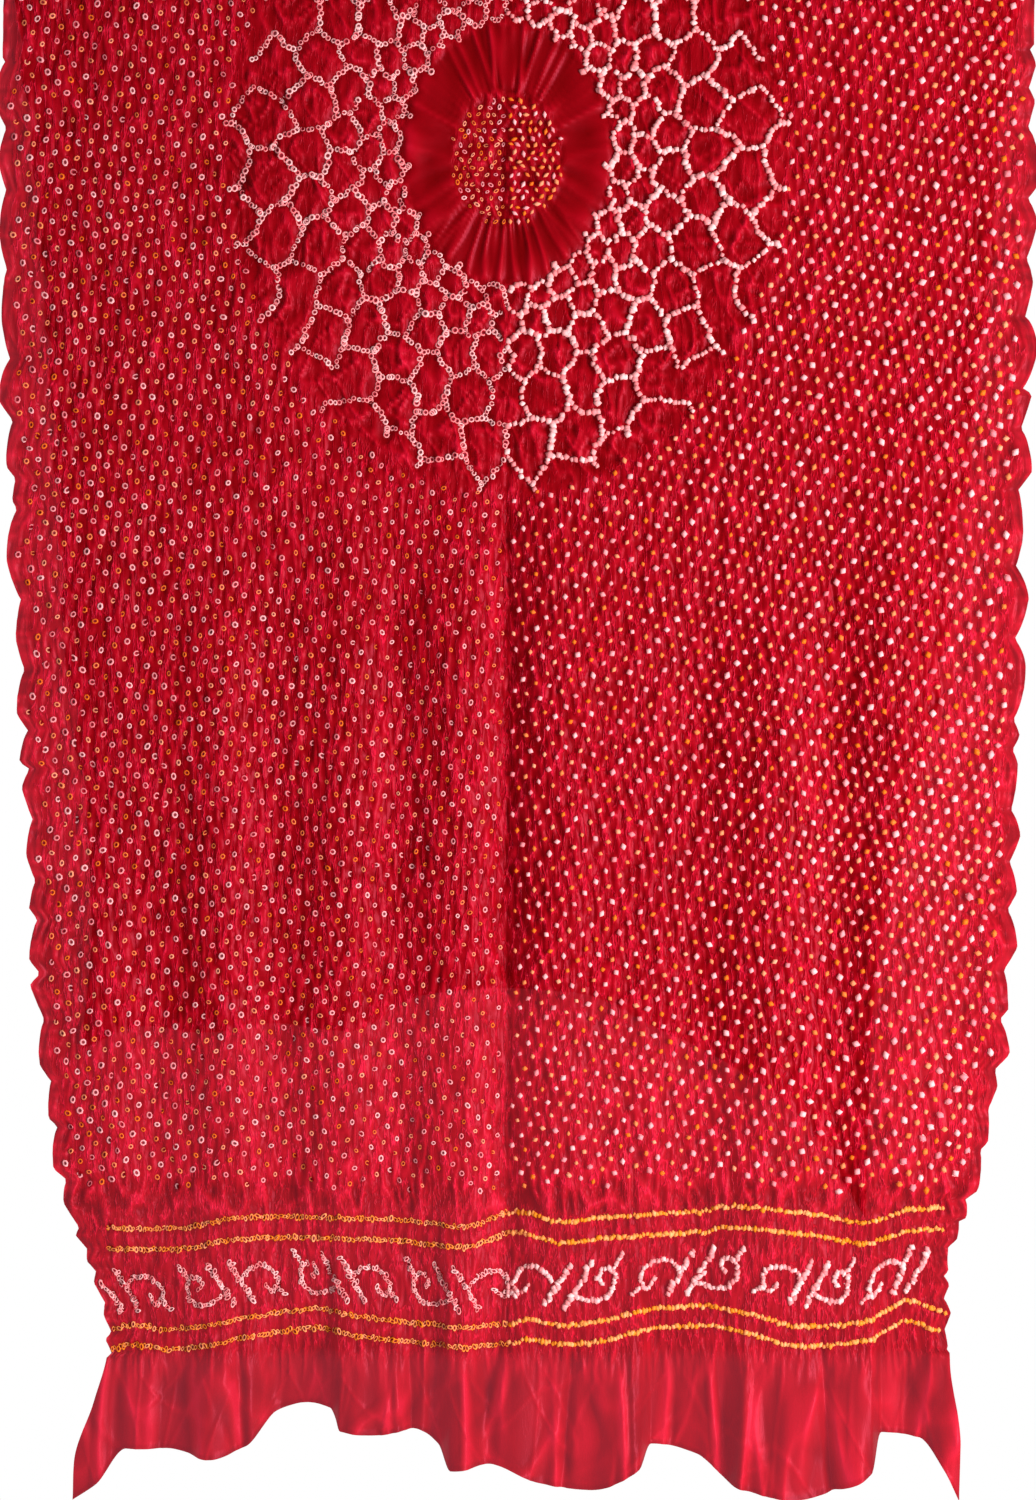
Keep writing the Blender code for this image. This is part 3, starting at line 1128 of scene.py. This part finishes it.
# %% The four panels
left_half, right_half = slice(0, HALF_COLUMNS + 1), slice(HALF_COLUMNS, None)
field_rows, band_rows = slice(0, FIELD_ROWS + 1), slice(FIELD_ROWS, None)


def front_panel(name, rows, columns):
    block = (rows, columns)
    return silk_panel(name, front_places[block], front_normals[block], front_x[block], front_q[block], False)


left_field = front_panel("silk_front_left_field", field_rows, left_half)
right_field = front_panel("silk_front_right_field", field_rows, right_half)
band_flounce = front_panel("silk_front_band_and_flounce", band_rows, slice(None))
back_leg = silk_panel("silk_turn_and_back_leg", back_places, back_normals, back_x, back_q, True)
silk_panels = [left_field, right_field, band_flounce, back_leg]

# %% [markdown]
# ## Modelling a knot
#
# Seen from the hollow side, a knot is a ring of undyed silk with a dark dimple. From the other side it is a
# little nub. Each is worked up once from a circle, by extruding its edge in and up and closing it at the
# middle, and every knot is a copy, set on the silk by a ray from outside. An attribute called undyed runs
# from the white of the ring to the dark red of the dimple, which is the red silk darkened by painted shade
# where the knot's mouth is.


# %% Knot forms
class Step(NamedTuple):
    """A turn of a knot's outline: radius and height as shares of the knot's size, and how undyed it is."""

    radius: float
    height: float
    undyed: float


# A ring's middle step, with undyed at 0, takes the dimple's dark red: the red silk with painted shade in the
# knot's mouth.
RING_KNOT = (Step(1.0, -0.2, 0.5), Step(0.82, 0.42, 1.0), Step(0.42, 0.14, 0.12), Step(0.0, -0.1, 0.0))
NUB_KNOT = (Step(1.0, -0.25, 0.4), Step(0.8, 0.5, 1.0), Step(0.0, 0.72, 1.0))
PLAIN_RING_KNOT = (Step(1.0, 0.1, 0.8), Step(0.5, 0.2, 0.3), Step(0.0, -0.1, 0.0))
PLAIN_NUB_KNOT = (Step(1.0, -0.2, 0.5), Step(0.6, 0.8, 1.0), Step(0.0, 1.1, 1.0))
REVERSE_KNOT = (Step(0.9, 0.1, 0.6), Step(0.0, 0.35, 1.0))
PINCH = 0.78
NUB_SWELL = 1.08
TURN_SPREAD = 0.8
OUTSIDE = 22.0
INSIDE = -6.0
RAY_LENGTH = 45.0 * MM


def knot_form(name, steps, sides, pinch=1.0):
    """One knot of size 1, as arrays of its corners, its triangles and how undyed each corner is.

    Where pinch is under 1, every other corner is drawn in, as the thread draws in a nub.
    """
    bpy.ops.object.select_all(action="DESELECT")
    bpy.ops.mesh.primitive_circle_add(vertices=sides, radius=1.0, location=(0, 0, 0))
    form = bpy.context.active_object
    form.name = name
    bpy.ops.object.mode_set(mode="EDIT")
    bpy.ops.transform.translate(value=(0, 0, steps[0].height))
    for before, step in zip(steps, steps[1:-1]):
        bpy.ops.mesh.extrude_edges_move(TRANSFORM_OT_translate={"value": (0, 0, step.height - before.height)})
        bpy.ops.transform.resize(value=(step.radius / before.radius, step.radius / before.radius, 1))
    rise = steps[-1].height - steps[-2].height
    bpy.ops.mesh.extrude_edges_move(TRANSFORM_OT_translate={"value": (0, 0, rise)})
    bpy.ops.mesh.merge(type="CENTER")
    bpy.ops.mesh.select_all(action="SELECT")
    bpy.ops.mesh.quads_convert_to_tris()
    bpy.ops.object.mode_set(mode="OBJECT")
    corners = np.array([corner.co for corner in form.data.vertices])
    triangles = np.array([face.vertices for face in form.data.polygons])
    first, second, third = (corners[triangles[:, place]] for place in range(3))
    up = np.cross(second - first, third - first)
    triangles[up[:, 2] < 0] = triangles[up[:, 2] < 0][:, ::-1]
    outline = np.array([(step.radius, step.height) for step in steps])
    profile = np.column_stack([np.linalg.norm(corners[:, :2], axis=1), corners[:, 2]])
    nearest = np.argmin(np.linalg.norm(profile[:, None] - outline[None], axis=2), axis=1)
    undyed = np.array([step.undyed for step in steps])[nearest]
    sector = np.round(np.arctan2(corners[:, 1], corners[:, 0]) * sides / (2 * np.pi)).astype(int)
    corners[sector % 2 == 1, :2] *= pinch
    bpy.data.objects.remove(form, do_unlink=True)
    print(name, "has", len(triangles), "triangles")
    return corners, triangles, undyed


ring_form = knot_form("ring_knot", RING_KNOT, 7)
nub_form = knot_form("nub_knot", NUB_KNOT, 8, PINCH)
plain_ring_form = knot_form("plain_ring_knot", PLAIN_RING_KNOT, 6)
plain_nub_form = knot_form("plain_nub_knot", PLAIN_NUB_KNOT, 6, PINCH)
reverse_form = knot_form("reverse_knot", REVERSE_KNOT, 6, PINCH)


# %% Setting knots on the silk
def silk_tree():
    """All four panels as one surface for rays."""
    corners, faces, first = [], [], 0
    for panel in silk_panels:
        places = np.empty(3 * len(panel.data.vertices), np.float32)
        panel.data.vertices.foreach_get("co", places)
        loops = np.empty(len(panel.data.loops), np.int32)
        panel.data.loops.foreach_get("vertex_index", loops)
        corners.append(places.reshape(-1, 3))
        faces.append(loops.reshape(-1, 4) + first)
        first += len(panel.data.vertices)
    return BVHTree.FromPolygons(np.concatenate(corners).tolist(), np.concatenate(faces).tolist())


tree = silk_tree()


def on_silk(knots, start_lift, aim_lift):
    """Where each knot meets the silk, and the way it faces, from a ray shot in from outside."""
    starts = hang(knots.x, knots.q, start_lift) * MM
    aims = hang(knots.x, knots.q, aim_lift) * MM
    places, facing, found = np.zeros(starts.shape), np.zeros(starts.shape), np.zeros(len(starts), bool)
    for i, (start, aim) in enumerate(zip(starts, aims)):
        way = Vector(aim - start).normalized()
        place, normal = tree.ray_cast(Vector(start), way, RAY_LENGTH)[:2]
        if place is None:
            continue
        if normal.dot(way) > 0:
            normal = -normal
        found[i] = True
        places[i] = place
        facing[i] = (normal - way).normalized()
    return places, facing, found


def knot_mesh(name, knots, form, tall, swell, start_lift=OUTSIDE, aim_lift=INSIDE):
    """Every knot of a list, as one mesh of copies of a form set on the silk."""
    corners, triangles, undyed = form
    places, facing, found = on_silk(knots, start_lift, aim_lift)
    knots = chosen(knots, found)
    places, facing = places[found], facing[found]
    count = len(places)
    across = np.cross(np.array([0.0, 0.0, 1.0]), facing)
    across += np.array([1e-9, 0, 0])
    across /= np.linalg.norm(across, axis=1, keepdims=True)
    upward = np.cross(facing, across)
    turn = draws.normal(0, TURN_SPREAD, count)[:, None]
    side_way = across * np.cos(turn) + upward * np.sin(turn)
    top_way = upward * np.cos(turn) - across * np.sin(turn)
    size = (knots.radius * swell * MM)[:, None]
    stretch = draws.uniform(0.95, 1.12, count)[:, None] * tall
    points = (
        places[:, None, :]
        + side_way[:, None, :] * (corners[None, :, 0:1] * (size / stretch)[:, None, :])
        + top_way[:, None, :] * (corners[None, :, 1:2] * (size * stretch)[:, None, :])
        + facing[:, None, :] * (corners[None, :, 2:3] * size[:, None, :])
    )
    faces = triangles[None] + (np.arange(count) * len(corners))[:, None, None]
    mesh = bpy.data.meshes.new(name)
    mesh.from_pydata(points.reshape(-1, 3), [], faces.reshape(-1, 3))
    qualities = {"undyed": np.tile(undyed, count), "tone": np.repeat(draws.random(count), len(corners))}
    for quality, values in qualities.items():
        attribute = mesh.attributes.new(quality, "FLOAT", "POINT")
        attribute.data.foreach_set("value", values.astype(np.float32))
    mesh.shade_smooth()
    piece = bpy.data.objects.new(name, mesh)
    bpy.context.collection.objects.link(piece)
    print(name, "holds", count, "knots,", len(faces) * len(triangles), "triangles")
    return piece


# %% Sorting the knots by half, leg and colour
def split(knots, front, right, yellow):
    """The knots on one leg and one half, white or yellow."""
    on_leg = (knots.q > FRONT_TURN_Q) == front
    on_half = (knots.x > CREASE_X) == right
    return chosen(knots, on_leg & on_half & (knots.yellow == yellow))


all_knots = {"field": field, "medallion": medallion, "heart": heart, "band": band}
RING_TALL = {"field": 1.07, "medallion": 1.0, "heart": 1.25, "band": 1.3}
NUB_TALL = {"field": 1.07, "medallion": 1.0, "heart": 1.25, "band": 1.1}
knot_pieces = []
for front in (True, False):
    for right in (False, True):
        for group, knots in all_knots.items():
            for yellow in (False, True):
                these = split(knots, front, right, yellow)
                if len(these.x) == 0:
                    continue
                if front:
                    form = nub_form if right else ring_form
                else:
                    form = plain_nub_form if right else plain_ring_form
                words = ["front" if front else "back", "right" if right else "left", group]
                words.append("yellow" if yellow else "white")
                name = "_".join(words + ["nubs" if right else "rings"])
                tall, swell = (NUB_TALL[group], NUB_SWELL) if right else (RING_TALL[group], 1.0)
                knot_pieces.append(knot_mesh(name, these, form, tall, swell))

# %% [markdown]
# ## The front leg's reverse
#
# From behind, the front leg shows below the shorter back leg and beside it. There each knot is seen from its
# other face, as a small plain dot.


# %% Knots where the reverse shows
CLEAR_OF_HEM = 5.0
CLEAR_OF_SELVEDGE = 6.0
CLEAR_OF_TURN = 60.0


def seen_from_behind(knots):
    """The front leg's knots that the back leg doesn't cover."""
    drop = drop_of(knots.x, knots.q)
    back_left, back_right = edges_of(BACK, drop)
    beside = (knots.x < back_left - CLEAR_OF_SELVEDGE) | (knots.x > back_right + CLEAR_OF_SELVEDGE)
    below = drop > hem_drop(BACK, knots.x) + CLEAR_OF_HEM
    return chosen(knots, (knots.q > FRONT_TURN_Q) & (below | (beside & (drop > CLEAR_OF_TURN))))


for group in ("field", "band"):
    for yellow in (False, True):
        these = seen_from_behind(chosen(all_knots[group], all_knots[group].yellow == yellow))
        name = "_".join(["reverse", "front", "leg", group, "yellow" if yellow else "white", "knots"])
        knot_pieces.append(knot_mesh(name, these, reverse_form, NUB_TALL[group], 1.0, -OUTSIDE, -INSIDE))

# %% [markdown]
# ## Silk and dye
# The silk is thin, so light both bounces off it and comes through it. Its shader mixes a coloured gloss on
# the face, a translucent share for light from behind, and a clear share where the cloth is sheer. Its colour
# follows the puckers with painted shade and painted highlight: the valleys are painted deep red and the crests
# bright red, and clouds of noise vary it a little. The panels' attributes say where. Very fine pleats and the
# weave are too small for the mesh, so they are bump, and the crests of the fine pleats are painted lighter too.


# %% Shader helpers
def new_material(name):
    """An empty node material and its node tree."""
    material = bpy.data.materials.new(name)
    material.use_nodes = True
    material.node_tree.nodes.clear()
    return material, material.node_tree


def add(tree, kind, inputs, output=0):
    """Adds a node and returns one of its outputs. Each input is a value, or the output that feeds it."""
    node = tree.nodes.new(kind)
    for socket, value in inputs.items():
        if isinstance(value, bpy.types.NodeSocket):
            tree.links.new(value, node.inputs[socket])
        else:
            node.inputs[socket].default_value = value
    return node.outputs[output] if node.outputs else None


def noise(tree, scale, detail):
    """Noise on object coordinates, scaled along each axis."""
    place = add(tree, "ShaderNodeTexCoord", {}, "Object")
    place = add(tree, "ShaderNodeMapping", {"Scale": scale, "Vector": place})
    return add(tree, "ShaderNodeTexNoise", {"Scale": 1.0, "Detail": detail, "Vector": place}, "Fac")


def ramp(tree, value, stops):
    """A colour ramp with (place, colour) stops."""
    node = tree.nodes.new("ShaderNodeValToRGB")
    points = node.color_ramp.elements
    points[0].position, points[0].color = stops[0]
    points[1].position, points[1].color = stops[-1]
    for place, colour in stops[1:-1]:
        points.new(place).color = colour
    tree.links.new(value, node.inputs["Fac"])
    return node.outputs["Color"]


def attribute_of(tree, name):
    """The value of a point attribute of the piece."""
    node = tree.nodes.new("ShaderNodeAttribute")
    node.attribute_name = name
    return node.outputs["Fac"]


def combine(tree, operation, first, second):
    """One step of arithmetic on two outputs or numbers."""
    result = add(tree, "ShaderNodeMath", {0: first, 1: second})
    result.node.operation = operation
    return result


def weighted_sum(tree, terms):
    """The sum of outputs, each times its weight."""
    total, *others = [combine(tree, "MULTIPLY", value, weight) for value, weight in terms]
    for other in others:
        total = combine(tree, "ADD", total, other)
    return total


def pleats(tree, scale, sharpness):
    """Sharp crests, 1 high, along the places where a noise is halfway."""
    away = combine(tree, "SUBTRACT", noise(tree, scale, 2.0), 0.5)
    away = combine(tree, "ABSOLUTE", away, 0.0)
    crest = combine(tree, "SUBTRACT", 1.0, combine(tree, "MULTIPLY", away, sharpness))
    return combine(tree, "MAXIMUM", crest, 0.0)


# %% The red silk
# The darkest two reds are painted shade for the valleys of the puckers, the brightest is a painted highlight
# for their crests, and the third is the silk's own red.
VALLEY_SHADE_RED = (0.22, 0.0002, 0.0012, 1)
HALF_SHADE_RED = (0.36, 0.0007, 0.005, 1)
RED = (0.52, 0.0022, 0.013, 1)
CREST_HIGHLIGHT_RED = (0.93, 0.013, 0.06, 1)
GLOSS_TINT = (1.0, 0.14, 0.26, 1)
CLEAR_TINT = (1.0, 0.12, 0.19, 1)
TRANSLUCENT_SHARE = 0.22
CLEAR_SHARE = 0.14


def silk_material():
    """Red silk: crimped, with a coloured gloss, light from behind, and clear where it is sheer."""
    material, tree = new_material("red_silk")
    crimps = pleats(tree, (230, 70, 50), 22.0)
    gathers = pleats(tree, (250, 70, 60), 18.0)
    either = {"Factor": attribute_of(tree, "gathered"), "A": crimps, "B": gathers}
    fine = add(tree, "ShaderNodeMix", either, "Result")
    height = combine(tree, "MULTIPLY", fine, attribute_of(tree, "crimp"))
    # The colour is mostly painted shade and painted highlight: the fine crimp height and the crest attribute
    # paint crests lighter and valleys darker. The noise clouds are the silk's own uneven tone, and sheer,
    # gathered and hem silk is a little darker.
    terms = [
        (height, 0.42),
        (attribute_of(tree, "crest"), 0.56),
        (noise(tree, (22, 22, 9), 3.0), 0.22),
        (attribute_of(tree, "sheer"), -0.05),
        (attribute_of(tree, "gathered"), -0.10),
        (attribute_of(tree, "hem"), -0.16),
    ]
    stops = [(0.10, VALLEY_SHADE_RED), (0.32, HALF_SHADE_RED), (0.52, RED), (0.92, CREST_HIGHLIGHT_RED)]
    colour = ramp(tree, weighted_sum(tree, terms), stops)

    crimped = add(tree, "ShaderNodeBump", {"Strength": 0.8, "Distance": 0.0011, "Height": height})
    threads = noise(tree, (1500, 400, 700), 2.0)
    weave = {"Strength": 0.12, "Distance": 0.0004, "Height": threads, "Normal": crimped}
    gloss = {"Roughness": 0.36, "Specular IOR Level": 0.3, "Specular Tint": GLOSS_TINT}
    woven = {"Base Color": colour, "Normal": add(tree, "ShaderNodeBump", weave)}
    face = add(tree, "ShaderNodeBsdfPrincipled", {**gloss, **woven})
    through_light = add(tree, "ShaderNodeBsdfTranslucent", {"Color": colour, "Normal": crimped})
    silk = add(tree, "ShaderNodeMixShader", {"Fac": TRANSLUCENT_SHARE, 1: face, 2: through_light})

    clear = add(tree, "ShaderNodeBsdfTransparent", {"Color": CLEAR_TINT})
    share = combine(tree, "MULTIPLY", attribute_of(tree, "sheer"), CLEAR_SHARE)
    cloth = add(tree, "ShaderNodeMixShader", {"Fac": share, 1: silk, 2: clear})
    add(tree, "ShaderNodeOutputMaterial", {"Surface": cloth})
    return material


# %% The knots' undyed silk
# The dimple's dark red is the red silk darkened with painted shade in the mouth of the knot.
DIMPLE_SHADE_RED = (0.14, 0.003, 0.009, 1)
EDGE_PINK = (0.72, 0.10, 0.13, 1)
UNDYED_WHITE = (1.0, 0.44, 0.46, 1)
BLUSHED_WHITE = (1.0, 0.36, 0.40, 1)
TURMERIC_YELLOW = (1.0, 0.33, 0.08, 1)
FADED_ORANGE = (0.96, 0.25, 0.09, 1)
EDGE_ORANGE = (0.78, 0.075, 0.03, 1)


def knot_material(name, rim, face_colour, saturation):
    """A knot's silk, from its dimple, red darkened with painted shade, through its stained rim to its undyed
    face.
    """
    material, tree = new_material(name)
    stops = [(0.08, DIMPLE_SHADE_RED), (0.34, rim), (0.64, face_colour)]
    varied = {"Color": ramp(tree, attribute_of(tree, "undyed"), stops)}
    tone = attribute_of(tree, "tone")
    for quality, least, most in (("Value", 0.9, 1.1), ("Saturation", *saturation)):
        varied[quality] = add(tree, "ShaderNodeMapRange", {"Value": tone, "To Min": least, "To Max": most})
    colour = add(tree, "ShaderNodeHueSaturation", varied)
    threads = noise(tree, (1400, 1400, 1400), 1.0)
    weave = add(tree, "ShaderNodeBump", {"Strength": 0.4, "Distance": 0.0004, "Height": threads})
    matt = {"Roughness": 0.6, "Specular IOR Level": 0.3, "Base Color": colour, "Normal": weave}
    face = add(tree, "ShaderNodeBsdfPrincipled", matt)
    add(tree, "ShaderNodeOutputMaterial", {"Surface": face})
    return material


red_silk = silk_material()
white_knot = knot_material("undyed_white_silk", EDGE_PINK, UNDYED_WHITE, (1.35, 0.75))
yellow_knot = knot_material("turmeric_yellow_silk", EDGE_ORANGE, TURMERIC_YELLOW, (1.1, 0.92))
blushed_knot = knot_material("blushed_white_silk", EDGE_PINK, BLUSHED_WHITE, (1.2, 0.8))
orange_knot = knot_material("faded_orange_silk", EDGE_ORANGE, FADED_ORANGE, (1.15, 0.85))
for panel in silk_panels:
    panel.data.materials.append(red_silk)
for piece in knot_pieces:
    small = "_field_" in piece.name or "_heart_" in piece.name
    if "_yellow_" in piece.name:
        piece.data.materials.append(orange_knot if small else yellow_knot)
    else:
        piece.data.materials.append(blushed_knot if small else white_knot)
print("five finishes: red silk, undyed white, blushed white, turmeric yellow and faded orange")

# %% [markdown]
# ## Handing the pieces to the frame
#
# Every piece rides on the part's one body. The panels stand for the imported solid. The puckers drew the silk
# in from its flat size to what hangs here. The photo gives no flat size; the usual width is 0.9 m.

for piece in silk_panels + knot_pieces:
    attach(piece, "root")
for panel in silk_panels:
    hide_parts("bandhani_cloth")


# %% [markdown]
# ## The room
#
# The cloth hangs clear of a plain pale floor in front of a plain light ground. One large soft light comes
# from the right, as in the photo, a weaker one fills from the front, and a third shines on the back. The
# ground is brighter to the eye than as a light, so that the silk keeps its own shading.

# %% The floor
FLOOR_DROP = 1.42
FLOOR_RADIUS = 1.3
FLOOR_PLACE = (0, 0, -FLOOR_DROP)
PALE_GREY = (0.82, 0.81, 0.79, 1)
bpy.ops.object.select_all(action="DESELECT")
bpy.ops.mesh.primitive_circle_add(vertices=96, radius=FLOOR_RADIUS, fill_type="NGON", location=FLOOR_PLACE)
floor = bpy.context.active_object
floor.name = "floor"
material, tree = new_material("pale_floor")
matt = add(tree, "ShaderNodeBsdfDiffuse", {"Color": PALE_GREY})
add(tree, "ShaderNodeOutputMaterial", {"Surface": matt})
floor.data.materials.append(material)

# %% The light ground
world = bpy.data.worlds.new("light_ground")
bpy.context.scene.world = world
world.use_nodes = True
tree = world.node_tree
tree.nodes.clear()
seen = add(tree, "ShaderNodeBackground", {"Color": (1, 1, 1, 1), "Strength": 1.0})
lighting = add(tree, "ShaderNodeBackground", {"Color": (1, 0.99, 0.98, 1), "Strength": 0.26})
to_camera = add(tree, "ShaderNodeLightPath", {}, "Is Camera Ray")
ground = add(tree, "ShaderNodeMixShader", {"Fac": to_camera, 1: lighting, 2: seen})
add(tree, "ShaderNodeOutputWorld", {"Surface": ground})


# %% The lights
def soft_light(name, place, target, size, power):
    """A square area light that faces a point."""
    lamp = bpy.data.lights.new(name, "AREA")
    lamp.size = size
    lamp.energy = power
    lamp.color = (1.0, 0.98, 0.95)
    light = bpy.data.objects.new(name, lamp)
    light.location = place
    light.rotation_euler = (Vector(target) - Vector(place)).to_track_quat("-Z", "Y").to_euler()
    bpy.context.collection.objects.link(light)


MIDDLE = (0, 0, -0.55)
soft_light("key_from_right", (1.7, -1.5, -0.7), MIDDLE, 0.8, 70)
soft_light("fill_from_the_front", (0.6, -2.8, -1.0), MIDDLE, 1.6, 10)
soft_light("light_on_the_back", (1.2, 2.1, -0.3), MIDDLE, 1.0, 50)

# %% The camera
VIEW_WIDTH_PX, VIEW_HEIGHT_PX = 1036, 1500
SIZE_OF_A_PIXEL = 0.72 * MM
CAMERA_DISTANCE = 3.2
VIEW_CENTRE = (1.4 * MM, -573.8 * MM)
view = bpy.data.cameras.new("camera")
view.sensor_fit = "VERTICAL"
view.sensor_height = 36.0
view.lens = view.sensor_height * CAMERA_DISTANCE / (VIEW_HEIGHT_PX * SIZE_OF_A_PIXEL)
view.clip_end = 20
camera = bpy.data.objects.new("camera", view)
camera.location = (VIEW_CENTRE[0], -CAMERA_DISTANCE, VIEW_CENTRE[1])
camera.rotation_euler = (np.pi / 2, 0, 0)
bpy.context.collection.objects.link(camera)
bpy.context.scene.camera = camera
bpy.context.scene.view_settings.view_transform = "Standard"
print("lens", round(view.lens, 1), "mm")
